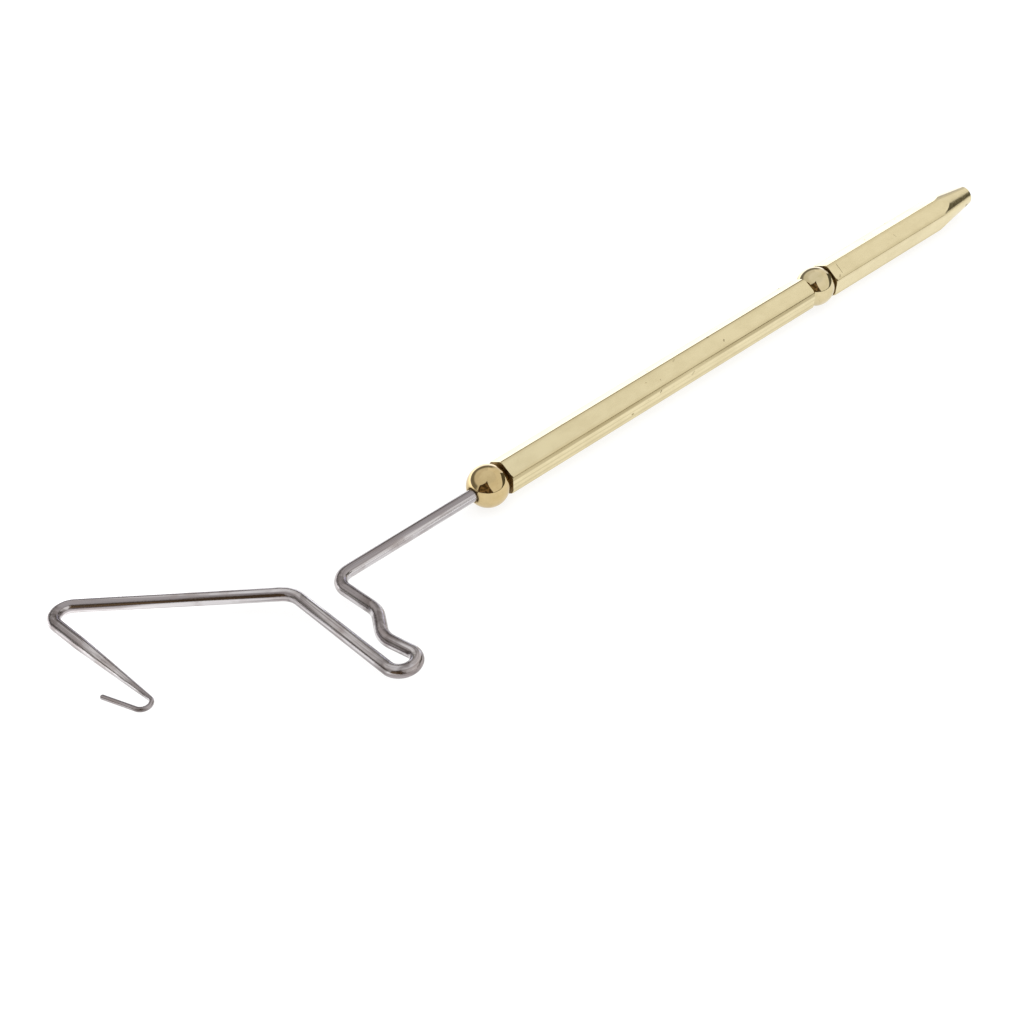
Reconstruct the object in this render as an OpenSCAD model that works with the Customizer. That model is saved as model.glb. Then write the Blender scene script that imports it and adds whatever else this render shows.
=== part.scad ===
// Rotary whip finisher with a half-hitch end: a bent steel wire hook whose straight
// spindle runs through a free-turning hexagonal brass handle, between two brass balls,
// and ends in a fixed hexagonal brass tip with a blind hole.
// The handle lies along X, hook end towards -X, resting on the two balls and the elbow.

/* [Handle] */
// Diameter of both brass balls
ball_d = 6; // [5.8:0.1:9]
// Width across the flats of the barrel
barrel_af = 4.75; // [4:0.05:5]
// Length of the turning barrel
barrel_len = 63; // [40:0.5:100]
// Diameter of the hole through the barrel
barrel_bore_d = 2.9; // [2.6:0.1:3.2]
// Width of the 45-degree countersink at each end of the barrel's hole
bore_flare = 0.25; // [0.1:0.05:0.5]
// Length of each bearing bush in the barrel
bush_len = 6; // [3:0.5:12]
// Diameter of the flat on the rear ball that faces the barrel
ball_flat_d = 3; // [2.8:0.1:4.8]
// Diameter of the flat on the rear ball that seats the tip
tip_seat_d = 4.2; // [2.8:0.1:4.4]
// Width of the 45-degree chamfer turned on the corners of the hexagons' ends
end_chamfer = 0.2; // [0.05:0.05:0.4]
// Turn of the barrel's flats about the handle's axis, in degrees
barrel_roll = -1; // [-30:1:30]

/* [Half-hitch tip] */
// Width across the flats of the tip
tip_af = 4.9; // [4.2:0.05:5.1]
// Length of the hexagonal tip
tip_len = 35.4; // [25:0.1:60]
// Length of the cone turned on the tip's end
nose_len = 9.3; // [6:0.1:16]
// Diameter of the cone's round end
nose_end_d = 3.2; // [2.4:0.1:4]
// Diameter of the half-hitch hole in the nose
hitch_bore_d = 1.5; // [1:0.1:1.7]
// Depth of the half-hitch hole
hitch_bore_len = 12; // [6:0.5:14]
// Turn of the tip's flats about the handle's axis, in degrees
tip_roll = 3.5; // [-30:0.5:30]

/* [Wire] */
// Diameter of the steel wire
wire_d = 1.8; // [1.4:0.1:2]
// Diameter of the wire where it is ground down for the hook
hook_wire_d = 0.65; // [0.5:0.05:1]
// Length of wire held inside the tip
socket_len = 9; // [5:0.5:10]

/* [Hook frame] */
// Wire showing between the front ball's centre and the first corner
reach = 27.1; // [15:0.5:50]
// Length of the leg from the first corner to the jog
leg_len = 8.9; // [7:0.1:12]
// Sideways step of the jog, towards the hook
jog_step = 2.9; // [2:0.1:4]
// Height of the jog, along the leg
jog_len = 4.35; // [4:0.05:7]
// Distance from the handle's axis to the far side of the crook
crook_depth = 20.1; // [18:0.1:30]
// Distance between the two legs of the crook at its far side
crook_w = 4.4; // [3.8:0.1:6]
// How far the crook's leg spreads from the jog to the crook's far side
crook_flare = 1; // [0:0.05:1.5]
// How far past the handle's axis the cross leg turns into the arm
cross_over = 1.8; // [0:0.05:4]
// Lean of the cross leg, towards the handle
cross_lean = 1.25; // [0:0.05:3]
// Length of the arm along the handle's axis
arm_reach = 24.1; // [18:0.1:40]
// Distance from the handle's axis to the elbow's corner
elbow_side = 24.4; // [18:0.2:36]
// Lean of the return leg, towards the handle at the hook
return_lean = 0.25; // [0:0.05:1]
// Distance from the handle's axis to the bottom of the hook
hook_depth = 2.1; // [0:0.1:8]
// Length of the hook's point from the bottom of the hook
hook_point_len = 5.2; // [4:0.1:9]
// Angle of the hook's point off the return leg, in degrees
hook_angle = 18; // [10:1:30]
// Length of wire ground to a taper above the hook
taper_len = 15; // [6:0.5:17]

/* [Bend radii] */
// Centreline radius of the first corner
first_bend_r = 2.7; // [2:0.1:4]
// Centreline radius of both bends of the jog
jog_bend_r = 4; // [2:0.1:5]
// Centreline radius where the cross leg meets the arm
arm_bend_r = 3.4; // [2:0.1:5]
// Centreline radius of the elbow
elbow_bend_r = 2.2; // [1.6:0.1:3.5]
// Centreline radius of the hook
hook_bend_r = 1.15; // [0.8:0.05:1.8]

/* [Fits] */
// Radial running clearance between the wire and the bushes
running_gap = 0.04; // [0.02:0.01:0.1]
// Free space at each end of the turning barrel
end_play = 0.05; // [0.03:0.01:0.2]
// Thickness of the thrust washer
washer_t = 0.35; // [0.1:0.05:0.6]

/* [Hidden] */
$fn = 96;

brass = [0.85, 0.79, 0.60];
bush_bronze = [0.62, 0.50, 0.30];
steel = [0.58, 0.56, 0.60];

cut = 1;
ball_r = ball_d / 2;
wire_r = wire_d / 2;
hook_wire_r = hook_wire_d / 2;
barrel_bore_r = barrel_bore_d / 2;
hitch_bore_r = hitch_bore_d / 2;
nose_end_r = nose_end_d / 2;
ball_flat_r = ball_flat_d / 2;
tip_seat_r = tip_seat_d / 2;

function corner_r(af) = af / sqrt(3);

// Where the pieces sit along the handle, measured from the front ball's centre.
flare_r = barrel_bore_r + bore_flare;
barrel_x = sqrt(ball_r * ball_r - flare_r * flare_r) + end_play;
barrel_end_x = barrel_x + barrel_len;
washer_x = barrel_end_x + end_play;
rear_flat_x = washer_x + washer_t;
rear_ball_x = rear_flat_x + sqrt(ball_r * ball_r - ball_flat_r * ball_flat_r);
tip_x = rear_ball_x + sqrt(ball_r * ball_r - tip_seat_r * tip_seat_r);
tip_end_x = tip_x + tip_len;
bush_recess = 0.6;
washer_r = ball_flat_r - 0.05;
rim_chamfer = 0.25;
bore_chamfer = 0.12;
socket_spare = 0.3;

// The cone starts just outside the hexagon's corners.
turning_allowance = 0.05;
turned_r = corner_r(tip_af) + turning_allowance;

// Corners of the bent wire in the plane of the hook frame: X along the handle,
// Y towards the elbow, then the centreline radius of the bend and the wire's radius there.
jog_x = -reach - jog_step;
jog_y = -leg_len - jog_len;
crook_out_x = jog_x + crook_flare;
crook_in_x = crook_out_x - crook_w;
arm_x = crook_in_x + cross_lean;
elbow_x = arm_x - arm_reach;
// The return leg and the point would meet below the round of the hook.
hook_half = hook_angle / 2;
hook_corner_x = elbow_x + return_lean;
hook_corner_y = -hook_depth - hook_bend_r / sin(hook_half) + hook_bend_r;
hook_side_len = hook_bend_r / tan(hook_half) + hook_point_len;
point_x = hook_corner_x - hook_side_len * sin(hook_angle);
point_y = hook_corner_y + hook_side_len * cos(hook_angle);

// The crook's two bends share its far side, so their radius follows its width.
crook_straight = 0.02;
crook_side_out = atan2(crook_flare, crook_depth + jog_y);
crook_side_in = atan2(cross_lean, crook_depth + cross_over);
crook_bend_r = crook_w * (1 - crook_straight)
    / (tan((90 + crook_side_out) / 2) + tan((90 + crook_side_in) / 2));

CORNERS = [
    [tip_x + socket_len, 0, 0, wire_r],
    [-reach, 0, first_bend_r, wire_r],
    [-reach, -leg_len, jog_bend_r, wire_r],
    [jog_x, jog_y, jog_bend_r, wire_r],
    [crook_out_x, -crook_depth, crook_bend_r, wire_r],
    [crook_in_x, -crook_depth, crook_bend_r, wire_r],
    [arm_x, cross_over, arm_bend_r, wire_r],
    [elbow_x, elbow_side, elbow_bend_r, wire_r],
    [hook_corner_x, hook_corner_y, hook_bend_r, hook_wire_r],
    [point_x, point_y, 0, hook_wire_r]
];
LAST = len(CORNERS) - 1;
ELBOW = LAST - 2;
HOOK = LAST - 1;

// Bending swells the wire a hair, and each straight runs a little way into the bends.
bend_swell = 0.01;
lap = 0.04;

function spot(i) = [CORNERS[i][0], CORNERS[i][1]];
function leg(i) = spot(i + 1) - spot(i);
function heading(i) = atan2(leg(i)[1], leg(i)[0]);
function along(i) = leg(i) / norm(leg(i));
function wrapped(a) = a > 180 ? a - 360 : a < -180 ? a + 360 : a;
function turn(i) = i == 0 || i == LAST ? 0 : wrapped(heading(i) - heading(i - 1));
function setback(i) = CORNERS[i][2] * tan(abs(turn(i)) / 2);
function lap_at(i) = i == 0 || i == LAST ? 0 : lap;
function side(i) = turn(i) > 0 ? 1 : -1;
function left_of(i) = [-along(i)[1], along(i)[0]];
function bend_centre(i) = spot(i) - along(i - 1) * setback(i)
    + left_of(i - 1) * side(i) * CORNERS[i][2];
function leg_start(i) = spot(i) + along(i) * (setback(i) - lap_at(i));
function leg_end(i) = spot(i + 1) - along(i) * (setback(i + 1) - lap_at(i + 1));
function bare_len(i) = norm(leg_end(i) - leg_start(i));

// The frame rolls about the spindle until the elbow rests on the same surface as the balls.
elbow_top_y = bend_centre(ELBOW)[1] + elbow_bend_r;
frame_roll = asin((ball_r - wire_r - bend_swell) / elbow_top_y);

// The origin is under the middle of the whole tool.
origin_x = (tip_end_x + point_x - hook_wire_r) / 2;
origin_y = (elbow_top_y - crook_depth) * cos(frame_roll) / 2;

module on_axis(x) {
    translate([x - origin_x, -origin_y, ball_r]) rotate([0, 90, 0]) children();
}

module hex_bar(af, length, roll) {
    // Flats face sideways at a roll of zero.
    rotate([0, 0, roll]) cylinder(h = length, r = corner_r(af), $fn = 6);
}

module end_chamfer_cut(af) {
    // Turns the corners off a hexagon's end at the origin.
    end_r = corner_r(af) - end_chamfer;
    translate([0, 0, -cut]) difference() {
        cylinder(h = 2 * cut, r = end_r + 2 * cut);
        cylinder(h = 2 * cut, r1 = end_r - cut, r2 = end_r + cut);
    }
}

module flare_cut() {
    // Countersinks the barrel's hole at an end at the origin.
    translate([0, 0, -cut])
        cylinder(h = cut + bore_flare, r1 = flare_r + cut, r2 = barrel_bore_r);
}

module barrel_end_cuts() {
    end_chamfer_cut(barrel_af);
    flare_cut();
}

module on_leg(i) {
    translate(leg_start(i)) rotate([0, 90, heading(i)]) children();
}

module ground_leg(length) {
    // Full wire, then a ground taper down to the hook.
    rotate_extrude() polygon([
        [0, 0],
        [wire_r, 0],
        [wire_r, length - taper_len],
        [hook_wire_r, length],
        [0, length]
    ]);
}

module rounded_point(length) {
    rotate_extrude() {
        square([hook_wire_r, length]);
        translate([0, length]) intersection() {
            circle(r = hook_wire_r);
            square(hook_wire_r);
        }
    }
}

module bend(i) {
    first = turn(i) > 0 ? heading(i - 1) - 90 : heading(i) + 90;
    translate(bend_centre(i)) rotate([0, 0, first])
        rotate_extrude(angle = abs(turn(i)))
            translate([CORNERS[i][2], 0]) circle(r = CORNERS[i][3] + bend_swell);
}

module hook_wire() {
    color(steel) translate([-origin_x, -origin_y, ball_r]) rotate([-frame_roll, 0, 0]) {
        for (i = [0 : ELBOW - 1]) on_leg(i) cylinder(h = bare_len(i), r = wire_r);
        on_leg(ELBOW) ground_leg(bare_len(ELBOW));
        on_leg(HOOK) rounded_point(bare_len(HOOK));
        for (i = [1 : LAST - 1]) bend(i);
    }
}

module front_ball() {
    color(brass) on_axis(0) difference() {
        sphere(r = ball_r);
        translate([0, 0, -ball_r - cut]) cylinder(h = ball_d + 2 * cut, r = wire_r);
        // Countersunk rim where the wire enters.
        translate([0, 0, -ball_r])
            cylinder(h = 2 * rim_chamfer, r1 = wire_r + 2 * rim_chamfer, r2 = wire_r);
    }
}

module barrel() {
    color(brass) on_axis(barrel_x) difference() {
        hex_bar(barrel_af, barrel_len, barrel_roll);
        barrel_end_cuts();
        translate([0, 0, barrel_len]) mirror([0, 0, 1]) barrel_end_cuts();
        translate([0, 0, -cut]) cylinder(h = barrel_len + 2 * cut, r = barrel_bore_r);
    }
}

module bush() {
    difference() {
        cylinder(h = bush_len, r = barrel_bore_r);
        translate([0, 0, -cut]) cylinder(h = bush_len + 2 * cut, r = wire_r + running_gap);
    }
}

module front_bush() {
    color(bush_bronze) on_axis(barrel_x + bush_recess) bush();
}

module rear_bush() {
    color(bush_bronze) on_axis(barrel_end_x - bush_len) bush();
}

module thrust_washer() {
    color(steel) on_axis(washer_x) difference() {
        cylinder(h = washer_t, r = washer_r);
        translate([0, 0, -cut]) cylinder(h = washer_t + 2 * cut, r = wire_r);
    }
}

module rear_ball() {
    color(brass) on_axis(rear_ball_x) difference() {
        sphere(r = ball_r);
        translate([0, 0, -ball_r - cut]) cylinder(h = ball_d + 2 * cut, r = wire_r);
        translate([0, 0, -ball_r - cut])
            cylinder(h = ball_r + cut - (rear_ball_x - rear_flat_x), r = ball_r);
        translate([0, 0, tip_x - rear_ball_x]) cylinder(h = ball_r, r = ball_r);
    }
}

module turned_blank() {
    // Round bar with the nose's cone at its far end.
    cylinder(h = tip_len - nose_len, r = turned_r);
    translate([0, 0, tip_len - nose_len])
        cylinder(h = nose_len, r1 = turned_r, r2 = nose_end_r);
}

module half_hitch_tip() {
    color(brass) on_axis(tip_x) difference() {
        intersection() {
            hex_bar(tip_af, tip_len, tip_roll);
            turned_blank();
        }
        end_chamfer_cut(tip_af);
        translate([0, 0, -cut]) cylinder(h = cut + socket_len + socket_spare, r = wire_r);
        translate([0, 0, tip_len - hitch_bore_len])
            cylinder(h = hitch_bore_len + cut, r = hitch_bore_r);
        translate([0, 0, tip_len - bore_chamfer])
            cylinder(h = 2 * bore_chamfer, r1 = hitch_bore_r, r2 = hitch_bore_r + 2 * bore_chamfer);
    }
}

hook_wire();
front_ball();
barrel();
front_bush();
rear_bush();
thrust_washer();
rear_ball();
half_hitch_tip();
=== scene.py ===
import math
import random

import bmesh
import bpy
from mathutils import Matrix, Vector


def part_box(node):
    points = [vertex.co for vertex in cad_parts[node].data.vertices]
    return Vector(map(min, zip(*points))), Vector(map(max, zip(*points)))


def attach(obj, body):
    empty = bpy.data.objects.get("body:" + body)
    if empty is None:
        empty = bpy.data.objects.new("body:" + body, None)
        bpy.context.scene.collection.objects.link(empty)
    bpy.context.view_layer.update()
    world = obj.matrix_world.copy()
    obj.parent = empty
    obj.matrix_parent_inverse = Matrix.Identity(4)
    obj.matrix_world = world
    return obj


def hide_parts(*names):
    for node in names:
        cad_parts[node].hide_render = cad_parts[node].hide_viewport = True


MM = 0.001
X_AXIS, Y_AXIS = Vector((1, 0, 0)), Vector((0, 1, 0))

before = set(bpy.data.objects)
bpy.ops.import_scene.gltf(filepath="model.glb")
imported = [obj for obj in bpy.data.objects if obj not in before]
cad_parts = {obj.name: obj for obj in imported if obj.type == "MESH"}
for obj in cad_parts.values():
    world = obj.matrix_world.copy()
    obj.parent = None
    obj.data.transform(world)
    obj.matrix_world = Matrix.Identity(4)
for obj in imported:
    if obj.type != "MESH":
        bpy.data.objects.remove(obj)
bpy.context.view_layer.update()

# ---------------------------------------------------------------- sizes of the tool

# The bends of the hook frame, as the part is designed.
WIRE_R = 0.9 * MM
HOOK_WIRE_R = 0.325 * MM
REACH = 27.1 * MM
LEG_LEN = 8.9 * MM
JOG_STEP = 2.9 * MM
JOG_LEN = 4.35 * MM
CROOK_DEPTH = 20.1 * MM
CROOK_W = 4.4 * MM
CROOK_FLARE = 1.0 * MM
CROOK_STRAIGHT = 0.02
CROSS_OVER = 1.8 * MM
CROSS_LEAN = 1.25 * MM
ARM_REACH = 24.1 * MM
ELBOW_SIDE = 24.4 * MM
RETURN_LEAN = 0.25 * MM
HOOK_DEPTH = 2.1 * MM
HOOK_POINT_LEN = 5.2 * MM
HOOK_ANGLE = math.radians(18)
TAPER_LEN = 15 * MM
FIRST_BEND_R = 2.7 * MM
JOG_BEND_R = 4.0 * MM
ARM_BEND_R = 3.4 * MM
ELBOW_BEND_R = 2.2 * MM
HOOK_BEND_R = 1.15 * MM
SOCKET_SPARE = 0.3 * MM
ELBOW_SPARE = 0.01 * MM
PLIER_MARK_LEN = 2.5 * MM

# The brass pieces.
BARREL_AF = 4.75 * MM
BARREL_ROLL = math.radians(-1)
BARREL_BORE_R = 1.45 * MM
BARREL_CORNER_R = 0.55 * MM
TIP_AF = 4.9 * MM
TIP_ROLL = math.radians(3.5)
TIP_CORNER_R = 0.14 * MM
NOSE_LEN = 9.3 * MM
NOSE_END_R = 1.6 * MM
HITCH_BORE_R = 0.75 * MM
HITCH_BORE_LEN = 12 * MM
SOCKET_DEPTH = 9.3 * MM
END_CHAMFER = 0.2 * MM
BORE_FLARE = 0.25 * MM
BALL_FLAT_R = 1.5 * MM
RIM_CHAMFER = 0.25 * MM
BORE_CHAMFER = 0.12 * MM
TURNING_ALLOWANCE = 0.05 * MM
HOLE_GAP = 0.02 * MM

# How far a bar runs past the blank that trims it, and how near its end a face counts as an end.
OVERRUN = 2 * MM
END_FACE_DEPTH = 0.02 * MM

# Steps of the turned and bent shapes.
TURN_STEPS = 96
BALL_ARC_STEPS = 56
BARREL_CORNER_STEPS = 6
TIP_CORNER_STEPS = 16
WIRE_SIDES = 28
STRAIGHT_STEP = 2.0 * MM
BEND_STEP = math.radians(6)
TAPER_FINENESS = 3
POINT_STEPS = 6

# The filed taper wavers by up to this share of its radius.
TAPER_WAVER = 0.012
WAVER_SEED = 7

# Edges sharper than this, in degrees, stay crisp.
WIRE_SHARP = 50
BALL_SHARP = 30
BARREL_SHARP = 25
TIP_SHARP = 4.5

# ---------------------------------------------------------------- places, from the frame

ball_lo, ball_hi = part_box("front_ball")
front_ball_at = (ball_lo + ball_hi) / 2
ball_r = (ball_hi.y - ball_lo.y) / 2
axis_y, axis_z = front_ball_at.y, front_ball_at.z
barrel_lo, barrel_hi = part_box("barrel")
rear_lo, rear_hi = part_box("rear_ball")
rear_ball_x = rear_lo.x + math.sqrt(ball_r ** 2 - BALL_FLAT_R ** 2)
tip_lo, tip_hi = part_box("half_hitch_tip")


# ---------------------------------------------------------------- mesh helpers

def finished(bm, name, materials):
    """Turns a bmesh into a shown object with smooth shading."""
    mesh = bpy.data.meshes.new(name)
    bm.to_mesh(mesh)
    bm.free()
    mesh.shade_smooth()
    for material in materials:
        mesh.materials.append(material)
    made = bpy.data.objects.new(name, mesh)
    bpy.context.scene.collection.objects.link(made)
    return made


def turned(start, moves):
    """Turns a half section about the X axis. The section starts at (x, radius) and goes on
    by ("to", x, radius) straights and ("arc", centre_x, centre_radius, degrees, steps) arcs."""
    bm = bmesh.new()
    last = bmesh.ops.create_vert(bm, co=(start[0], 0, start[1]))["vert"][0]
    for move in moves:
        if move[0] == "to":
            made = bmesh.ops.extrude_vert_indiv(bm, verts=[last])["verts"]
            bmesh.ops.translate(bm, verts=made, vec=Vector((move[1], 0, move[2])) - last.co)
            last = made[0]
        else:
            spun = bmesh.ops.spin(
                bm, geom=[last], cent=(move[1], 0, move[2]), axis=Y_AXIS,
                angle=math.radians(move[3]), steps=move[4], use_merge=False)
            last = [e for e in spun["geom_last"] if isinstance(e, bmesh.types.BMVert)][0]
    bmesh.ops.spin(bm, geom=bm.verts[:] + bm.edges[:], cent=(0, 0, 0), axis=X_AXIS,
                   angle=math.tau, steps=TURN_STEPS, use_merge=True)
    bmesh.ops.remove_doubles(bm, verts=bm.verts, dist=1e-7)
    bmesh.ops.recalc_face_normals(bm, faces=bm.faces)
    bmesh.ops.translate(bm, verts=bm.verts, vec=(0, axis_y, axis_z))
    return bm


def rounded_hexagon_bar(across_flats, corner_r, roll, x0, x1, corner_steps):
    """Hexagon bar along the handle's axis, with its six long corners rounded."""
    bm = bmesh.new()
    length = x1 - x0
    radius = across_flats / math.sqrt(3)
    bmesh.ops.create_cone(bm, cap_ends=True, segments=6, radius1=radius, radius2=radius,
                          depth=length)
    long_edges = [e for e in bm.edges if e.calc_length() > length * 0.9]
    bmesh.ops.bevel(bm, geom=long_edges, affect="EDGES", offset_type="OFFSET",
                    offset=corner_r * math.tan(math.radians(30)), segments=corner_steps,
                    profile=0.5, material=-1)
    along_x = Matrix(((0, 0, 1), (1, 0, 0), (0, 1, 0))).to_4x4()
    place = Matrix.Translation((x0 + length / 2, axis_y, axis_z))
    rolled = Matrix.Rotation(roll, 4, "X")
    bmesh.ops.transform(bm, verts=bm.verts, matrix=place @ rolled @ along_x)
    return bm


def shared_part(bm_a, bm_b):
    """The solid that two closed shapes share, as a new bmesh."""
    first = finished(bm_a, "bar", [])
    second = finished(bm_b, "blank", [])
    cut = first.modifiers.new("shared", "BOOLEAN")
    cut.operation, cut.solver, cut.object = "INTERSECT", "EXACT", second
    graph = bpy.context.evaluated_depsgraph_get()
    bm = bmesh.new()
    bm.from_mesh(first.evaluated_get(graph).to_mesh())
    for spent in (first, second):
        mesh = spent.data
        bpy.data.objects.remove(spent)
        bpy.data.meshes.remove(mesh)
    bmesh.ops.remove_doubles(bm, verts=bm.verts, dist=2e-7)
    bmesh.ops.dissolve_degenerate(bm, edges=bm.edges, dist=1e-7)
    return bm


def keep_flats_flat(piece, sharp_angle):
    """Marks the crisp edges and lets the broad faces set the shading of the rest."""
    piece.data.set_sharp_from_angle(angle=math.radians(sharp_angle))
    soften = piece.modifiers.new("weighted_normal", "WEIGHTED_NORMAL")
    soften.mode, soften.weight, soften.keep_sharp = "FACE_AREA", 100, True


# ---------------------------------------------------------------- shader helpers

def add(tree, kind, sockets=None, **settings):
    """Adds a node, sets it up and fills its sockets with values or links."""
    made = tree.nodes.new(kind)
    for key, value in settings.items():
        setattr(made, key, value)
    for key, value in (sockets or {}).items():
        if isinstance(value, bpy.types.NodeSocket):
            tree.links.new(value, made.inputs[key])
        else:
            made.inputs[key].default_value = value
    return made


def calc(tree, operation, a, b=0.0):
    return add(tree, "ShaderNodeMath", {0: a, 1: b}, operation=operation).outputs[0]


def spread(tree, value, low, high, out_low=0.0, out_high=1.0, smooth=True):
    """Carries a value from one range to another, held at both ends."""
    return add(tree, "ShaderNodeMapRange",
               {"Value": value, "From Min": low, "From Max": high,
                "To Min": out_low, "To Max": out_high},
               interpolation_type="SMOOTHSTEP" if smooth else "LINEAR").outputs["Result"]


def tint(tree, amount, a, b):
    """Mixes two colours by an amount."""
    mixed = add(tree, "ShaderNodeMix", data_type="RGBA")
    for socket, value in zip((mixed.inputs[0], mixed.inputs[6], mixed.inputs[7]),
                             (amount, a, b)):
        if isinstance(value, bpy.types.NodeSocket):
            tree.links.new(value, socket)
        elif isinstance(value, tuple):
            socket.default_value = value + (1.0,)
        else:
            socket.default_value = value
    return mixed.outputs[2]


def noise(tree, coords, stretch, detail=3.0, rough=0.55, shift=(0, 0, 0)):
    """Noise with its own number of cells per metre along each direction."""
    mapped = add(tree, "ShaderNodeMapping",
                 {"Vector": coords, "Scale": stretch, "Location": shift}).outputs[0]
    return add(tree, "ShaderNodeTexNoise",
               {"Vector": mapped, "Scale": 1.0, "Detail": detail,
                "Roughness": rough}).outputs["Fac"]


def specks(tree, coords, stretch, size, shift=(0, 0, 0)):
    """Small scattered spots, 1 inside a spot."""
    mapped = add(tree, "ShaderNodeMapping",
                 {"Vector": coords, "Scale": stretch, "Location": shift}).outputs[0]
    cells = add(tree, "ShaderNodeTexVoronoi", {"Vector": mapped, "Scale": 1.0},
                feature="F1")
    dice = add(tree, "ShaderNodeSeparateColor", {"Color": cells.outputs["Color"]}).outputs[0]
    reach = spread(tree, dice, 0.86, 1.0, 0.0, size, smooth=False)
    edge = calc(tree, "SUBTRACT", reach, cells.outputs["Distance"])
    return spread(tree, edge, 0.0, size * 0.35)


def bumped(tree, height, distance, under=None):
    sockets = {"Height": height, "Distance": distance, "Strength": 1.0}
    if under is not None:
        sockets["Normal"] = under
    return add(tree, "ShaderNodeBump", sockets).outputs[0]


def metal(name):
    """An empty metal: the tree, its shader and the object coordinates."""
    material = bpy.data.materials.new(name)
    material.use_nodes = True
    tree = material.node_tree
    tree.nodes.clear()
    shader = add(tree, "ShaderNodeBsdfPrincipled", {"Metallic": 1.0})
    out = add(tree, "ShaderNodeOutputMaterial")
    tree.links.new(shader.outputs[0], out.inputs[0])
    coords = add(tree, "ShaderNodeTexCoord").outputs["Object"]
    return material, tree, shader, coords


def from_axis(tree, coords):
    """Distance from the handle's axis."""
    parts = add(tree, "ShaderNodeSeparateXYZ", {0: coords})
    across_y = calc(tree, "SUBTRACT", parts.outputs["Y"], axis_y)
    across_z = calc(tree, "SUBTRACT", parts.outputs["Z"], axis_z)
    squares = calc(tree, "ADD", calc(tree, "POWER", across_y, 2.0),
                   calc(tree, "POWER", across_z, 2.0))
    return calc(tree, "SQRT", squares), parts.outputs["X"]


def around_axis(tree, coords, roll, period):
    """Angle about the handle's axis from the middle of a flat, wrapped to half a period
    on both sides."""
    parts = add(tree, "ShaderNodeSeparateXYZ", {0: coords})
    angle = calc(tree, "ARCTAN2", calc(tree, "SUBTRACT", parts.outputs["Z"], axis_z),
                 calc(tree, "SUBTRACT", parts.outputs["Y"], axis_y))
    turned_back = calc(tree, "SUBTRACT", angle, roll)
    return add(tree, "ShaderNodeMath", {0: turned_back, 1: period / 2, 2: -period / 2},
               operation="WRAP").outputs[0]


def scuff(tree, coords, centre, direction, half_len, half_width):
    """A short mark at one place: 1 along its middle, 0 outside."""
    away = add(tree, "ShaderNodeVectorMath", {0: coords, 1: centre},
               operation="SUBTRACT").outputs["Vector"]
    lengthways = calc(tree, "ABSOLUTE", add(
        tree, "ShaderNodeVectorMath", {0: away, 1: direction.normalized()},
        operation="DOT_PRODUCT").outputs["Value"])
    distance = add(tree, "ShaderNodeVectorMath", {0: away}, operation="LENGTH").outputs["Value"]
    sideways = calc(tree, "SQRT", calc(tree, "MAXIMUM", 0.0, calc(
        tree, "SUBTRACT", calc(tree, "POWER", distance, 2.0),
        calc(tree, "POWER", lengthways, 2.0))))
    return calc(tree, "MULTIPLY",
                spread(tree, lengthways, half_len * 0.7, half_len, 1.0, 0.0),
                spread(tree, sideways, half_width * 0.3, half_width, 1.0, 0.0))


# ---------------------------------------------------------------- finishes

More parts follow.
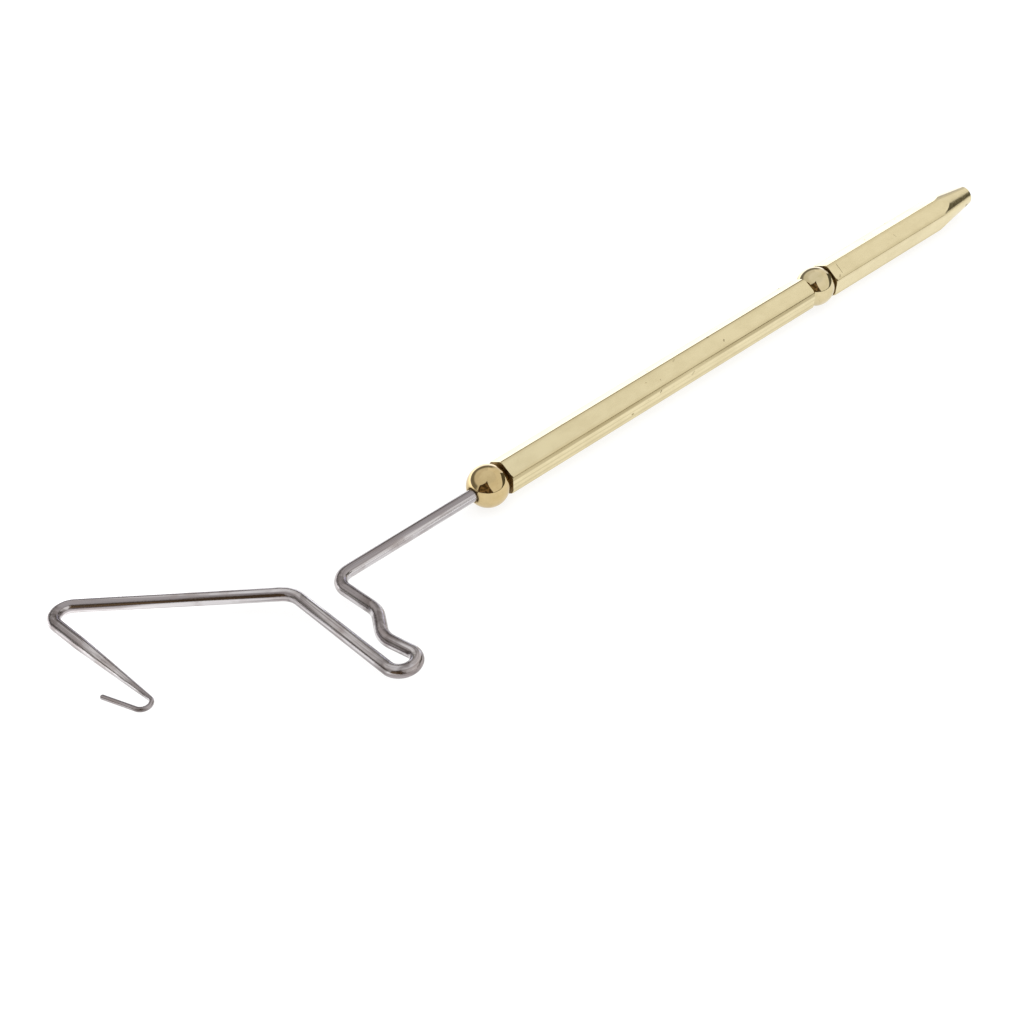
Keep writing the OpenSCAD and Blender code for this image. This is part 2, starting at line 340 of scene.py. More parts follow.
def drawn_brass(name, seed, wave, roll, painted_reflection_strength, scuffs):
    """Polished hexagon bar: fine lengthwise lines, soft rolling waves, specks, wipe marks and a
    few scuffs, with painted reflections and shade: a dark band beside two corners, darker
    lengthwise streaks on two flats and a thin dark line along every corner."""
    material, tree, shader, coords = metal(name)
    shift = (seed, seed * 2, seed * 3)
    lines = noise(tree, coords, (12, 9000, 9000), 4.0, 0.6, shift)
    bands = noise(tree, coords, (6, 2100, 2100), 2.0, 0.5, shift)
    cloud = noise(tree, coords, (260, 420, 420), 4.0, 0.6, shift)
    patch = noise(tree, coords, (38, 300, 300), 2.0, 0.5, shift)
    wipe = noise(tree, coords, (1800, 900, 900), 3.0, 0.7, shift)
    pits = specks(tree, coords, (330, 520, 520), 0.26, shift)
    fine_pits = specks(tree, coords, (1150, 1500, 1500), 0.24, shift)
    across = around_axis(tree, coords, roll, math.radians(60))
    from_flat = calc(tree, "ABSOLUTE", across)
    # Painted reflection: a thin dark line along every corner. The colour also darkens slightly over
    # the part of each flat nearest the corners.
    corner = spread(tree, from_flat, math.radians(28.2), math.radians(29.4))
    by_corner = spread(tree, from_flat, math.radians(18), math.radians(29))
    # Painted reflection: a dark band on the flat beside two opposite corners, standing for the dark
    # gap at the horizon that these corners reflect; ragged, and stronger in patches.
    half_turn = around_axis(tree, coords, roll, math.pi)
    ragged = calc(tree, "ADD", half_turn, calc(
        tree, "MULTIPLY", calc(tree, "SUBTRACT", lines, 0.5), math.radians(7)))
    band = calc(tree, "MULTIPLY",
                spread(tree, ragged, math.radians(-31), math.radians(-29)),
                spread(tree, ragged, math.radians(-21), math.radians(-14), 1.0, 0.0))
    band = calc(tree, "MULTIPLY", band, spread(tree, patch, 0.30, 0.60, 0.45, 1.0))
    # Painted shade: darker lengthwise streaks on the two flats that face sideways, standing for the
    # shaded floor beside the bar that these flats reflect.
    face = calc(tree, "MULTIPLY", spread(tree, half_turn, math.radians(-20), math.radians(-16)),
                spread(tree, half_turn, math.radians(16), math.radians(24), 1.0, 0.0))
    streaks = calc(tree, "MULTIPLY", face, spread(tree, bands, 0.48, 0.64))

    base = tint(tree, spread(tree, cloud, 0.35, 0.68), (0.765, 0.672, 0.425), (0.715, 0.622, 0.385))
    # Painted shade and reflection: the streaks and the band darken the colour.
    base = tint(tree, calc(tree, "MULTIPLY", streaks, painted_reflection_strength * 0.55), base, (0.50, 0.42, 0.24))
    base = tint(tree, calc(tree, "MULTIPLY", band, painted_reflection_strength), base, (0.37, 0.30, 0.155))
    base = tint(tree, spread(tree, wipe, 0.62, 0.82, 0.0, 0.22), base, (0.66, 0.55, 0.30))
    # Painted reflection: darker towards the corners, with a thin dark line along each.
    base = tint(tree, calc(tree, "MULTIPLY", by_corner, 0.24), base, (0.40, 0.32, 0.16))
    base = tint(tree, calc(tree, "MULTIPLY", corner, 0.45), base, (0.33, 0.25, 0.12))
    base = tint(tree, calc(tree, "MULTIPLY", fine_pits, 0.35), base, (0.40, 0.32, 0.15))
    base = tint(tree, calc(tree, "MULTIPLY", pits, 0.75), base, (0.22, 0.165, 0.07))
    sunk = calc(tree, "ADD", pits, fine_pits)
    for centre, direction, half_len, half_width, depth in scuffs:
        mark = scuff(tree, coords, centre, direction, half_len, half_width)
        base = tint(tree, calc(tree, "MULTIPLY", mark, depth), base, (0.19, 0.14, 0.06))
        sunk = calc(tree, "ADD", sunk, calc(tree, "MULTIPLY", mark, depth))
    tree.links.new(base, shader.inputs["Base Color"])
    rough = spread(tree, lines, 0.3, 0.75, 0.11, 0.20)
    rough = calc(tree, "ADD", rough, spread(tree, cloud, 0.45, 0.8, 0.0, 0.06))
    rough = calc(tree, "ADD", rough, calc(tree, "MULTIPLY", sunk, 0.25))
    tree.links.new(rough, shader.inputs["Roughness"])
    normal = bumped(tree, bands, wave)
    normal = bumped(tree, lines, 0.0024 * MM, normal)
    normal = bumped(tree, calc(tree, "SUBTRACT", 1.0, sunk), 0.014 * MM, normal)
    tree.links.new(normal, shader.inputs["Normal"])
    return material


def mirror_brass(name, seed, light, dark, shaded_joints):
    """Bright polished ball: wiping scratches, slight orange peel, and painted shade with a duller
    finish in a ring about the hole and beside each (x, width) joint in the last argument."""
    material, tree, shader, coords = metal(name)
    shift = (seed, seed * 2, seed * 3)
    peel = noise(tree, coords, (420, 420, 420), 2.0, 0.5, shift)
    scratch_a = noise(tree, coords, (260, 5200, 2600), 3.0, 0.7, shift)
    scratch_b = noise(tree, coords, (4800, 300, 2400), 3.0, 0.7, shift)
    cloud = noise(tree, coords, (700, 700, 700), 4.0, 0.6, shift)
    pits = specks(tree, coords, (1300, 1300, 1300), 0.22, shift)
    away, along = from_axis(tree, coords)
    # Painted shade, with a duller finish: a ring about the wire's hole and a band beside each
    # listed joint.
    painted_shade_and_dull = spread(tree, calc(tree, "ADD", away, calc(tree, "MULTIPLY", cloud, 0.5 * MM)),
                        WIRE_R + 0.30 * MM, WIRE_R + 0.75 * MM, 1.0, 0.0)
    for end_x, width in shaded_joints:
        near = calc(tree, "ABSOLUTE", calc(tree, "SUBTRACT", along, end_x))
        near = calc(tree, "ADD", near, calc(tree, "MULTIPLY", cloud, width * 0.5))
        painted_shade_and_dull = calc(tree, "MAXIMUM", painted_shade_and_dull,
                          spread(tree, near, width * 0.8, width * 1.3, 1.0, 0.0))
    base = tint(tree, spread(tree, cloud, 0.35, 0.7), light, dark)
    base = tint(tree, calc(tree, "MULTIPLY", spread(tree, peel, 0.5, 0.75), 0.35), base,
                (0.54, 0.43, 0.24))
    base = tint(tree, calc(tree, "MULTIPLY", pits, 0.5), base, (0.36, 0.26, 0.10))
    # Painted shade darkens the colour in that ring and those bands.
    base = tint(tree, calc(tree, "MULTIPLY", painted_shade_and_dull, 0.75), base, (0.20, 0.14, 0.06))
    tree.links.new(base, shader.inputs["Base Color"])
    marks = calc(tree, "ADD", spread(tree, scratch_a, 0.55, 0.75, 0.0, 0.06),
                 spread(tree, scratch_b, 0.58, 0.78, 0.0, 0.05))
    rough = calc(tree, "ADD", marks, spread(tree, cloud, 0.4, 0.8, 0.035, 0.075))
    rough = calc(tree, "ADD", rough, calc(tree, "MULTIPLY", painted_shade_and_dull, 0.30))
    tree.links.new(rough, shader.inputs["Roughness"])
    normal = bumped(tree, peel, 0.010 * MM)
    normal = bumped(tree, marks, 0.004 * MM, normal)
    tree.links.new(normal, shader.inputs["Normal"])
    return material


def tarnished_brass(name):
    """Sawn and faced ends that the polishing wheel doesn't reach: dull brown rings."""
    material, tree, shader, coords = metal(name)
    away, _ = from_axis(tree, coords)
    rings = add(tree, "ShaderNodeTexNoise",
                {"W": calc(tree, "MULTIPLY", away, 16000.0), "Scale": 1.0, "Detail": 2.0},
                noise_dimensions="1D").outputs["Fac"]
    cloud = noise(tree, coords, (900, 900, 900), 4.0, 0.6)
    base = tint(tree, spread(tree, cloud, 0.3, 0.7), (0.17, 0.11, 0.045), (0.34, 0.24, 0.10))
    tree.links.new(base, shader.inputs["Base Color"])
    tree.links.new(spread(tree, rings, 0.3, 0.7, 0.38, 0.55), shader.inputs["Roughness"])
    tree.links.new(bumped(tree, rings, 0.006 * MM), shader.inputs["Normal"])
    return material


def drawn_steel(name):
    """Drawn wire: long die lines that follow the wire, heat tint and plier marks at bends."""
    material, tree, shader, _ = metal(name)
    drawn = add(tree, "ShaderNodeAttribute", attribute_name="drawn").outputs["Vector"]
    worked = add(tree, "ShaderNodeAttribute", attribute_name="worked").outputs["Fac"]
    die_lines = noise(tree, drawn, (5200, 5200, 25), 4.0, 0.65)
    broad = noise(tree, drawn, (1900, 1900, 45), 2.0, 0.5)
    cloud = noise(tree, drawn, (500, 500, 260), 4.0, 0.6)
    pits = specks(tree, drawn, (1600, 1600, 700), 0.24)
    blotch = noise(tree, drawn, (650, 650, 420), 2.0, 0.5, (3, 1, 2))
    chatter = noise(tree, drawn, (500, 500, 2600), 2.0, 0.5)
    base = tint(tree, spread(tree, broad, 0.40, 0.58), (0.66, 0.635, 0.645), (0.34, 0.31, 0.315))
    base = tint(tree, spread(tree, cloud, 0.45, 0.70, 0.0, 0.6), base, (0.33, 0.275, 0.26))
    base = tint(tree, spread(tree, die_lines, 0.50, 0.66, 0.0, 0.6), base, (0.17, 0.15, 0.155))
    base = tint(tree, calc(tree, "MULTIPLY", worked, spread(tree, blotch, 0.48, 0.62, 0.0, 0.7)),
                base, (0.16, 0.135, 0.13))
    base = tint(tree, calc(tree, "MULTIPLY", pits, 0.7), base, (0.10, 0.085, 0.085))
    tree.links.new(base, shader.inputs["Base Color"])
    rough = spread(tree, die_lines, 0.3, 0.75, 0.12, 0.26)
    rough = calc(tree, "ADD", rough, spread(tree, cloud, 0.45, 0.8, 0.0, 0.08))
    tree.links.new(rough, shader.inputs["Roughness"])
    normal = bumped(tree, broad, 0.040 * MM)
    normal = bumped(tree, die_lines, 0.010 * MM, normal)
    marks = calc(tree, "MULTIPLY", chatter, worked)
    normal = bumped(tree, marks, 0.030 * MM, normal)
    normal = bumped(tree, calc(tree, "SUBTRACT", 1.0, pits), 0.008 * MM, normal)
    tree.links.new(normal, shader.inputs["Normal"])
    return material


def turned_metal(name, light, dark, rough_low, rough_high):
    """Small lathe-turned piece: rings about the axis and an oily bloom."""
    material, tree, shader, coords = metal(name)
    away, along = from_axis(tree, coords)
    depth = calc(tree, "ADD", calc(tree, "MULTIPLY", away, 14000.0),
                 calc(tree, "MULTIPLY", along, 9000.0))
    rings = add(tree, "ShaderNodeTexNoise", {"W": depth, "Scale": 1.0, "Detail": 2.0},
                noise_dimensions="1D").outputs["Fac"]
    bloom = noise(tree, coords, (800, 800, 800), 4.0, 0.6)
    base = tint(tree, spread(tree, bloom, 0.3, 0.7), light, dark)
    tree.links.new(base, shader.inputs["Base Color"])
    tree.links.new(spread(tree, rings, 0.3, 0.7, rough_low, rough_high),
                   shader.inputs["Roughness"])
    tree.links.new(bumped(tree, rings, 0.004 * MM), shader.inputs["Normal"])
    return material


def flat_scuff(from_ball_x, flat_angle, apothem, up_the_flat, lean, half_len, half_width, depth):
    """A scuff on a flat, so far along from the front ball and up the flat, leaning by an angle
    from the handle's direction."""
    turn = math.radians(flat_angle)
    out = Vector((0, math.cos(turn), math.sin(turn)))
    up = Vector((0, -math.sin(turn), math.cos(turn)))
    if up.z < 0:
        up = -up
    centre = (front_ball_at + X_AXIS * (from_ball_x * MM) + out * apothem
              + up * (up_the_flat * MM))
    slant = math.radians(lean)
    direction = X_AXIS * math.cos(slant) + up * math.sin(slant)
    return centre, direction, half_len * MM, half_width * MM, depth


# Flats that face up and towards the camera's side, by their angle about the axis.
FRONT_FLAT, UPPER_FLAT = 180.0, 120.0
barrel_turn, tip_turn = math.degrees(BARREL_ROLL), math.degrees(TIP_ROLL)
barrel_scuffs = [
    flat_scuff(31.5, FRONT_FLAT + barrel_turn, BARREL_AF / 2, 0.60, 60, 0.30, 0.12, 0.9),
    flat_scuff(45.8, UPPER_FLAT + barrel_turn, BARREL_AF / 2, -0.30, 50, 0.25, 0.13, 0.8),
    flat_scuff(36.2, UPPER_FLAT + barrel_turn, BARREL_AF / 2, 1.00, 20, 0.35, 0.08, 0.5),
    flat_scuff(32.2, UPPER_FLAT + barrel_turn, BARREL_AF / 2, -0.40, 75, 0.15, 0.10, 0.5),
    flat_scuff(38.3, FRONT_FLAT + barrel_turn, BARREL_AF / 2, 0.35, 35, 0.45, 0.22, 0.35),
]
tip_scuffs = [
    flat_scuff(72.4, UPPER_FLAT + tip_turn, TIP_AF / 2, 0.10, 90, 1.00, 0.045, 0.85),
    flat_scuff(71.6, UPPER_FLAT + tip_turn, TIP_AF / 2, -0.95, 40, 0.35, 0.20, 0.4),
    flat_scuff(85.9, UPPER_FLAT + tip_turn, TIP_AF / 2, -0.05, 110, 0.35, 0.07, 0.45),
]
# The barrel carries the painted dark band and streaks at 0.85; the tip carries none.
barrel_brass = drawn_brass("barrel_drawn_brass", 3.0, 0.016 * MM, BARREL_ROLL, 0.85,
                           barrel_scuffs)
tip_brass = drawn_brass("tip_drawn_brass", 11.0, 0.006 * MM, TIP_ROLL, 0.0, tip_scuffs)
front_ball_brass = mirror_brass("front_ball_mirror_brass", 5.0,
                                (0.635, 0.495, 0.262), (0.565, 0.435, 0.220), [])
# The rear ball gets painted shade where it meets the barrel and where it meets the tip.
rear_ball_brass = mirror_brass("rear_ball_mirror_brass", 8.0,
                               (0.69, 0.59, 0.37), (0.62, 0.53, 0.31),
                               [(rear_lo.x, 0.25 * MM), (rear_hi.x, 0.20 * MM)])
end_brass = tarnished_brass("tarnished_end_brass")
wire_steel = drawn_steel("drawn_wire_steel")
bush_metal = turned_metal("turned_bush_bronze",
                          (0.52, 0.38, 0.20), (0.36, 0.25, 0.12), 0.25, 0.45)
washer_metal = turned_metal("oiled_washer_steel",
                            (0.20, 0.19, 0.18), (0.11, 0.10, 0.09), 0.3, 0.5)


# ---------------------------------------------------------------- hook wire

def corner_list():
    """Corners of the bent wire in its own plane, from the tip's socket to the hook's point:
    (x along the handle from the front ball, y towards the elbow, bend radius)."""
    jog_x, jog_y = -REACH - JOG_STEP, -LEG_LEN - JOG_LEN
    crook_out_x = jog_x + CROOK_FLARE
    crook_in_x = crook_out_x - CROOK_W
    arm_x = crook_in_x + CROSS_LEAN
    elbow_x = arm_x - ARM_REACH
    hook_half = HOOK_ANGLE / 2
    hook_x = elbow_x + RETURN_LEAN
    hook_y = -HOOK_DEPTH - HOOK_BEND_R / math.sin(hook_half) + HOOK_BEND_R
    side_len = HOOK_BEND_R / math.tan(hook_half) + HOOK_POINT_LEN
    point_x = hook_x - side_len * math.sin(HOOK_ANGLE)
    point_y = hook_y + side_len * math.cos(HOOK_ANGLE)
    side_out = math.atan2(CROOK_FLARE, CROOK_DEPTH + jog_y)
    side_in = math.atan2(CROSS_LEAN, CROOK_DEPTH + CROSS_OVER)
    quarter = math.pi / 2
    crook_bend_r = CROOK_W * (1 - CROOK_STRAIGHT) / (
        math.tan((quarter + side_out) / 2) + math.tan((quarter + side_in) / 2))
    socket_x = tip_lo.x - front_ball_at.x + SOCKET_DEPTH - SOCKET_SPARE
    return [
        (socket_x, 0, 0),
        (-REACH, 0, FIRST_BEND_R),
        (-REACH, -LEG_LEN, JOG_BEND_R),
        (jog_x, jog_y, JOG_BEND_R),
        (crook_out_x, -CROOK_DEPTH, crook_bend_r),
        (crook_in_x, -CROOK_DEPTH, crook_bend_r),
        (arm_x, CROSS_OVER, ARM_BEND_R),
        (elbow_x, ELBOW_SIDE, ELBOW_BEND_R),
        (hook_x, hook_y, HOOK_BEND_R),
        (point_x, point_y, 0),
    ]


def bent_wire():
    """Pushes a round section along the straights and round the bends, ring by ring."""
    corners = corner_list()
    spots = [Vector((x, y, 0)) for x, y, _ in corners]
    legs = [(b - a).normalized() for a, b in zip(spots, spots[1:])]
    turns = [0.0] * len(corners)
    for i in range(1, len(legs)):
        cross = legs[i - 1].cross(legs[i]).z
        turns[i] = math.atan2(cross, legs[i - 1].dot(legs[i]))
    setbacks = [r * math.tan(abs(t) / 2) for (_, _, r), t in zip(corners, turns)]

    bm = bmesh.new()
    drawn = bm.verts.layers.float_vector.new("drawn")
    worked = bm.verts.layers.float.new("worked")
    dice = random.Random(WAVER_SEED)
    state = {"at": spots[0].copy(), "way": legs[0].copy(), "length": 0.0, "radius": WIRE_R}
    facing_x = Matrix.Rotation(math.radians(90), 4, "Y")
    first = bmesh.ops.create_circle(bm, segments=WIRE_SIDES, radius=WIRE_R,
                                    matrix=Matrix.Translation(spots[0]) @ facing_x)
    ring = first["verts"]
    edges = list({e for v in ring for e in v.link_edges})
    bmesh.ops.contextual_create(bm, geom=edges)

    def note(verts, work):
        left = Vector((-state["way"].y, state["way"].x, 0))
        for v in verts:
            off = v.co - state["at"]
            v[drawn] = (off.dot(left), off.z, state["length"])
            v[worked] = work

    def next_ring(move, grow, work):
        nonlocal edges
        made = bmesh.ops.extrude_edge_only(bm, edges=edges)["geom"]
        verts = [g for g in made if isinstance(g, bmesh.types.BMVert)]
        edges = [g for g in made if isinstance(g, bmesh.types.BMEdge)
                 and g.verts[0] in set(verts) and g.verts[1] in set(verts)]
        bmesh.ops.transform(bm, verts=verts, matrix=move)
        before = state["at"].copy()
        state["at"] = move @ state["at"]
        state["way"] = (move.to_3x3() @ state["way"]).normalized()
        state["length"] += (state["at"] - before).length
        if grow != 1.0:
            about = Matrix.Translation(-state["at"])
            bmesh.ops.scale(bm, verts=verts, vec=(grow, grow, grow), space=about)
            state["radius"] *= grow
        note(verts, work)

    note(ring, 0.0)
    hook_bend = len(corners) - 2
    elbow = hook_bend - 1
    for i, way in enumerate(legs):
        run = (spots[i + 1] - spots[i]).length - setbacks[i] - setbacks[i + 1]
        count = max(2, round(run / STRAIGHT_STEP))
        if i == elbow:
            count *= TAPER_FINENESS
        for k in range(count):
            grow = 1.0
            if i == elbow:
                done = (k + 1) / count * run - (run - TAPER_LEN)
                wanted = WIRE_R if done <= 0 else (
                    WIRE_R + (HOOK_WIRE_R - WIRE_R) * done / TAPER_LEN)
                if done > 0 and k < count - 1:
                    wanted *= 1 - TAPER_WAVER * dice.random()
                grow = wanted / state["radius"]
            # Plier marks fade out along the first millimetres beside a bend.
            to_bend = min((k + 1) / count, 1 - (k + 1) / count) * run
            work = max(0.0, 1 - to_bend / PLIER_MARK_LEN) if 0 < i < len(legs) - 1 else 0.0
            next_ring(Matrix.Translation(way * run / count), grow, work)
        if i + 1 < len(corners) - 1:
            turn, radius = turns[i + 1], corners[i + 1][2]
            left = Vector((-way.y, way.x, 0)) * math.copysign(1, turn)
            centre = state["at"] + left * radius
            steps = max(4, math.ceil(abs(turn) / BEND_STEP))
            swing = (Matrix.Translation(centre) @ Matrix.Rotation(turn / steps, 4, "Z")
                     @ Matrix.Translation(-centre))
            for _ in range(steps):
                next_ring(swing, 1.0, 1.0)
    # Round the point off over a quarter circle, then close it.
    way, radius = legs[-1], state["radius"]
    for k in range(1, POINT_STEPS):
        a = math.radians(90) * (k - 1) / POINT_STEPS
        b = math.radians(90) * k / POINT_STEPS
        forward = (math.sin(b) - math.sin(a)) * radius
        next_ring(Matrix.Translation(way * forward), math.cos(b) / math.cos(a), 0.0)
    bmesh.ops.contextual_create(bm, geom=edges)
    bmesh.ops.recalc_face_normals(bm, faces=bm.faces)

    # The frame rolls about the handle's axis until its elbow rests where the balls do.
    elbow_y = (spots[elbow] - legs[elbow - 1] * setbacks[elbow]).y
    left = Vector((-legs[elbow - 1].y, legs[elbow - 1].x, 0))
    centre_y = elbow_y + left.y * math.copysign(1, turns[elbow]) * ELBOW_BEND_R
    roll = math.asin((ball_r - WIRE_R - ELBOW_SPARE) / (centre_y + ELBOW_BEND_R))
    bmesh.ops.transform(bm, verts=bm.verts, matrix=(
        Matrix.Translation(front_ball_at) @ Matrix.Rotation(-roll, 4, "X")))
    return bm


hook_wire = finished(bent_wire(), "bent_hook_wire", [wire_steel])
hook_wire.data.set_sharp_from_angle(angle=math.radians(WIRE_SHARP))
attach(hook_wire, "hook_frame")
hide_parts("hook_wire")


# ---------------------------------------------------------------- balls

def arc_degrees(rim_r, other_r):
    return math.degrees(math.pi - math.asin(rim_r / ball_r) - math.asin(other_r / ball_r))


def front_ball_mesh():
    """Ball with a countersunk hole towards the hook and a plain hole towards the barrel."""
    hole = WIRE_R + HOLE_GAP
    rim = WIRE_R + RIM_CHAMFER
    cx = front_ball_at.x
    out_rim = math.sqrt(ball_r ** 2 - rim ** 2)
    return turned((cx - out_rim + RIM_CHAMFER, hole), [
        ("to", cx - out_rim, rim),
        ("arc", cx, 0, arc_degrees(rim, hole), BALL_ARC_STEPS),
        ("to", cx - out_rim + RIM_CHAMFER, hole),
    ])


def rear_ball_mesh():
    """Ball with a flat towards the barrel and a smaller flat that seats the tip."""
    hole = WIRE_R + HOLE_GAP
    cx = rear_ball_x
    flat_r = math.sqrt(ball_r ** 2 - (cx - rear_lo.x) ** 2)
    seat_r = math.sqrt(ball_r ** 2 - (rear_hi.x - cx) ** 2)
    return turned((rear_lo.x, hole), [
        ("to", rear_lo.x, flat_r),
        ("arc", cx, 0, arc_degrees(flat_r, seat_r), BALL_ARC_STEPS),
        ("to", rear_hi.x, hole),
        ("to", rear_lo.x, hole),
    ])


front_ball = finished(front_ball_mesh(), "polished_front_ball", [front_ball_brass])
front_ball.data.set_sharp_from_angle(angle=math.radians(BALL_SHARP))
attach(front_ball, "hook_frame")
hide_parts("front_ball")

rear_ball = finished(rear_ball_mesh(), "polished_rear_ball", [rear_ball_brass])
rear_ball.data.set_sharp_from_angle(angle=math.radians(BALL_SHARP))
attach(rear_ball, "hook_frame")
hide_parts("rear_ball")


# ---------------------------------------------------------------- barrel and tip

def barrel_mesh():
    """Rounded hexagon bar, chamfered on the lathe and countersunk at both ends."""
    x0, x1 = barrel_lo.x, barrel_hi.x
    outside_r = BARREL_AF
    end_r = BARREL_AF / math.sqrt(3) - END_CHAMFER
    flare_r = BARREL_BORE_R + BORE_FLARE
    sleeve = turned((x0, flare_r), [
        ("to", x0, end_r),
        ("to", x0 + outside_r - end_r, outside_r),
        ("to", x1 - outside_r + end_r, outside_r),
        ("to", x1, end_r),
        ("to", x1, flare_r),
        ("to", x1 - BORE_FLARE, BARREL_BORE_R),
        ("to", x0 + BORE_FLARE, BARREL_BORE_R),
        ("to", x0, flare_r),
    ])
    bar = rounded_hexagon_bar(BARREL_AF, BARREL_CORNER_R, BARREL_ROLL,
                              x0 - OVERRUN, x1 + OVERRUN, BARREL_CORNER_STEPS)
    return shared_part(bar, sleeve)


def tip_mesh():
    """Rounded hexagon bar, chamfered at the rear ball, turned to a cone at the nose and bored
    from both ends."""
    x0, x1 = tip_lo.x, tip_hi.x
    blank_r = TIP_AF / math.sqrt(3) + TURNING_ALLOWANCE
    end_r = TIP_AF / math.sqrt(3) - END_CHAMFER
    socket_r = WIRE_R + HOLE_GAP
    blank = turned((x0 + SOCKET_DEPTH, 0), [
        ("to", x0 + SOCKET_DEPTH, socket_r),
        ("to", x0, socket_r),
        ("to", x0, end_r),
        ("to", x0 + blank_r - end_r, blank_r),
        ("to", x1 - NOSE_LEN, blank_r),
        ("to", x1, NOSE_END_R),
        ("to", x1, HITCH_BORE_R + BORE_CHAMFER),
        ("to", x1 - BORE_CHAMFER, HITCH_BORE_R),
        ("to", x1 - HITCH_BORE_LEN, HITCH_BORE_R),
        ("to", x1 - HITCH_BORE_LEN, 0),
    ])
    bar = rounded_hexagon_bar(TIP_AF, TIP_CORNER_R, TIP_ROLL,
                              x0 - OVERRUN, x1 + OVERRUN, TIP_CORNER_STEPS)
    return shared_part(bar, blank)


def tarnish_ends(piece, x0, x1):
    """Gives the faced ends and the inside of the bores their own dull finish."""
    for face in piece.data.polygons:
        middle = face.center
        away = math.hypot(middle.y - axis_y, middle.z - axis_z)
        on_end = min(abs(middle.x - x0), abs(middle.x - x1)) < END_FACE_DEPTH
        if (on_end and abs(face.normal.x) > 0.99) or away < BARREL_BORE_R * 0.9:
            face.material_index = 1


barrel = finished(barrel_mesh(), "hexagon_barrel", [barrel_brass, end_brass])
tarnish_ends(barrel, barrel_lo.x, barrel_hi.x)
keep_flats_flat(barrel, BARREL_SHARP)
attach(barrel, "handle")
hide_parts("barrel")

tip = finished(tip_mesh(), "hexagon_half_hitch_tip", [tip_brass, end_brass])
tarnish_ends(tip, tip_lo.x, tip_hi.x)
keep_flats_flat(tip, TIP_SHARP)
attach(tip, "hook_frame")
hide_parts("half_hitch_tip")

for name, finish in (("front_bush", bush_metal), ("rear_bush", bush_metal),
                     ("thrust_washer", washer_metal)):
    for material_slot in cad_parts[name].material_slots:
        material_slot.material = finish

# ---------------------------------------------------------------- floor, light and camera

CAMERA_HEADING = math.radians(46.35)
CAMERA_DIP = math.radians(40.97)
CAMERA_FROM_BALL = Vector((-135.97, -147.22, 169.35)) * MM
LENS = 68.55
SENSOR = 36.0
FLOOR_SIZE = 4.0
# The sheet glows by itself, a painted light that fills in its own shadows: less on the camera's
# side of the tool, and more past it.
GLOW_CHANGE_FROM, GLOW_CHANGE_TO = 0.004, 0.030
GLOW_NEAR, GLOW_FAR = 0.80, 1.60

floor_bm = bmesh.new()
bmesh.ops.create_grid(floor_bm, x_segments=1, y_segments=1, size=FLOOR_SIZE / 2)
floor_sheet = bpy.data.materials.new("pale_lit_sheet")
floor_sheet.use_nodes = True
sheet_tree = floor_sheet.node_tree
sheet = sheet_tree.nodes["Principled BSDF"]
sheet.inputs["Base Color"].default_value = (0.25, 0.25, 0.25, 1)
sheet.inputs["Roughness"].default_value = 0.9
sheet.inputs["Specular IOR Level"].default_value = 0.1
sheet.inputs["Emission Color"].default_value = (1, 1, 1, 1)
sheet_across = add(sheet_tree, "ShaderNodeSeparateXYZ", {
    0: add(sheet_tree, "ShaderNodeTexCoord").outputs["Object"]}).outputs["Y"]
# Painted light: the sheet's own glow fills in the shadows on the floor.
sheet_tree.links.new(spread(sheet_tree, sheet_across, GLOW_CHANGE_FROM, GLOW_CHANGE_TO,
                            GLOW_NEAR, GLOW_FAR),
                     sheet.inputs["Emission Strength"])
floor = finished(floor_bm, "floor", [floor_sheet])

camera_data = bpy.data.cameras.new("camera")
camera_data.lens, camera_data.sensor_width = LENS, SENSOR
camera_data.clip_start, camera_data.clip_end = 0.01, 20
camera = bpy.data.objects.new("camera", camera_data)
camera.location = front_ball_at + CAMERA_FROM_BALL
camera.rotation_euler = (math.radians(90) - CAMERA_DIP, 0, CAMERA_HEADING - math.radians(90))
bpy.context.scene.collection.objects.link(camera)
bpy.context.scene.camera = camera


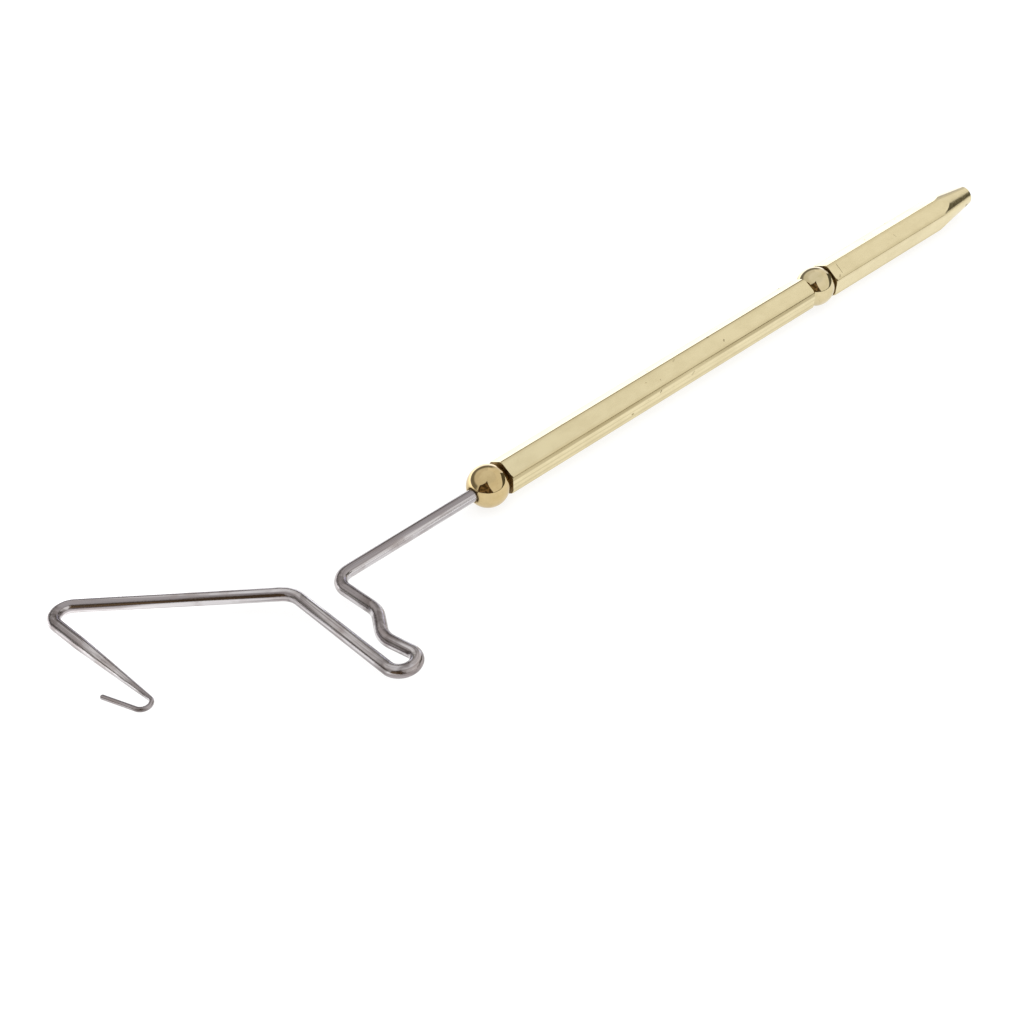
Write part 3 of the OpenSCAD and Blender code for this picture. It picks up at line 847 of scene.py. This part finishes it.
def studio_room():
    """Pale light tent: bright sides, a softer top, a thin dark gap at the horizon and a dark
    opening on the camera's side."""
    world = bpy.data.worlds.new("light_tent")
    bpy.context.scene.world = world
    world.use_nodes = True
    tree = world.node_tree
    tree.nodes.clear()
    way = add(tree, "ShaderNodeTexCoord").outputs["Generated"]
    height = calc(tree, "ARCSINE", add(tree, "ShaderNodeSeparateXYZ", {0: way}).outputs["Z"])
    back = Vector((-math.cos(CAMERA_HEADING), -math.sin(CAMERA_HEADING), 0))
    right = Vector((math.sin(CAMERA_HEADING), -math.cos(CAMERA_HEADING), 0))

    def along(vector):
        return add(tree, "ShaderNodeVectorMath", {0: way, 1: vector},
                   operation="DOT_PRODUCT").outputs["Value"]

    round_ = calc(tree, "ARCTAN2", along(right), along(back))
    # Sides and top.
    top = spread(tree, height, 0.80, 1.0)
    right_side = spread(tree, round_, 0.0, 0.10)
    sides = tint(tree, right_side, (0.84, 0.82, 0.80), (1.00, 0.985, 0.96))
    room = tint(tree, top, sides, (0.92, 0.92, 0.92))
    # The backdrop behind the tool is the brightest thing in the tent.
    behind = calc(tree, "GREATER_THAN", calc(tree, "ABSOLUTE", round_), 1.6)
    backdrop = calc(tree, "MULTIPLY", behind, spread(tree, height, 0.10, 0.20, 1.0, 0.0))
    room = tint(tree, backdrop, room, (1.12, 1.14, 1.42))
    # A dark gap on the far side, lowest on the left, over a bright backdrop.
    far = calc(tree, "MAXIMUM", spread(tree, round_, -1.15, -0.9, 1.0, 0.0),
               spread(tree, round_, 2.75, 3.0))
    on_left = calc(tree, "MULTIPLY", spread(tree, round_, -2.9, -2.4),
                   spread(tree, round_, 0.0, 0.2, 1.0, 0.0))
    over_gap = calc(tree, "ADD", height, calc(tree, "MULTIPLY", on_left, 0.11))
    far_band = calc(tree, "MULTIPLY", spread(tree, over_gap, 0.09, 0.16),
                    spread(tree, over_gap, 0.40, 0.62, 1.0, 0.0))
    room = tint(tree, calc(tree, "MULTIPLY", calc(tree, "MULTIPLY", far, far_band), 0.85),
                room, (0.13, 0.12, 0.09))
    # Thin gap along the near horizon, taller on the right.
    near_side = calc(tree, "MULTIPLY", spread(tree, round_, -1.4, -1.2),
                     spread(tree, round_, 2.45, 2.6, 1.0, 0.0))
    right_gap = calc(tree, "MULTIPLY", spread(tree, round_, 1.2, 2.0),
                     spread(tree, round_, 2.35, 2.5, 1.0, 0.0))
    gap_top = calc(tree, "ADD", 0.06, calc(tree, "MULTIPLY", right_gap, 0.36))
    gap = spread(tree, calc(tree, "SUBTRACT", gap_top, height), 0.0, 0.04)
    room = tint(tree, calc(tree, "MULTIPLY", gap, near_side), room, (0.12, 0.11, 0.08))
    # Opening on the camera's side.
    swing = calc(tree, "ADD", round_, 0.12)
    slope = calc(tree, "MAXIMUM", calc(tree, "MULTIPLY", swing, 1.8),
                 calc(tree, "MULTIPLY", swing, -0.8))
    roof = calc(tree, "SUBTRACT", 1.18, slope)
    opening = spread(tree, calc(tree, "SUBTRACT", roof, height), 0.0, 0.05)
    opening = calc(tree, "MULTIPLY", opening, spread(tree, round_, -0.92, -0.86))
    folds = add(tree, "ShaderNodeTexNoise", {"Vector": way, "Scale": 5.0, "Detail": 3.0})
    dark = tint(tree, spread(tree, folds.outputs["Fac"], 0.45, 0.65),
                (0.07, 0.045, 0.02), (0.26, 0.17, 0.09))
    room = tint(tree, opening, room, dark)
    # Below the horizon, and wherever the camera looks past the floor, the room is plain.
    below = spread(tree, height, -0.02, 0.0, 1.0, 0.0)
    room = tint(tree, below, room, (0.95, 0.95, 0.95))
    seen = add(tree, "ShaderNodeLightPath").outputs["Is Camera Ray"]
    room = tint(tree, seen, room, (1.0, 1.0, 1.0))
    light = add(tree, "ShaderNodeBackground", {"Color": room, "Strength": 1.0})
    out = add(tree, "ShaderNodeOutputWorld")
    tree.links.new(light.outputs[0], out.inputs[0])


studio_room()


def soft_light(name, place, aim, size, watts):
    """Broad lamp that lights the floor and leaves the metal's reflections to the tent."""
    data = bpy.data.lights.new(name, "AREA")
    data.shape, data.size, data.energy = "DISK", size, watts
    lamp = bpy.data.objects.new(name, data)
    lamp.location = place
    lamp.rotation_euler = (Vector(aim) - Vector(place)).to_track_quat("-Z", "Y").to_euler()
    lamp.visible_glossy = False
    bpy.context.scene.collection.objects.link(lamp)


soft_light("overhead", (0.10, 0.15, 0.9), (0, 0, 0), 1.6, 5.0)
soft_light("fill", (-0.6, -0.7, 0.7), (0, 0, 0), 1.2, 3.0)

bpy.context.scene.view_settings.view_transform = "Standard"
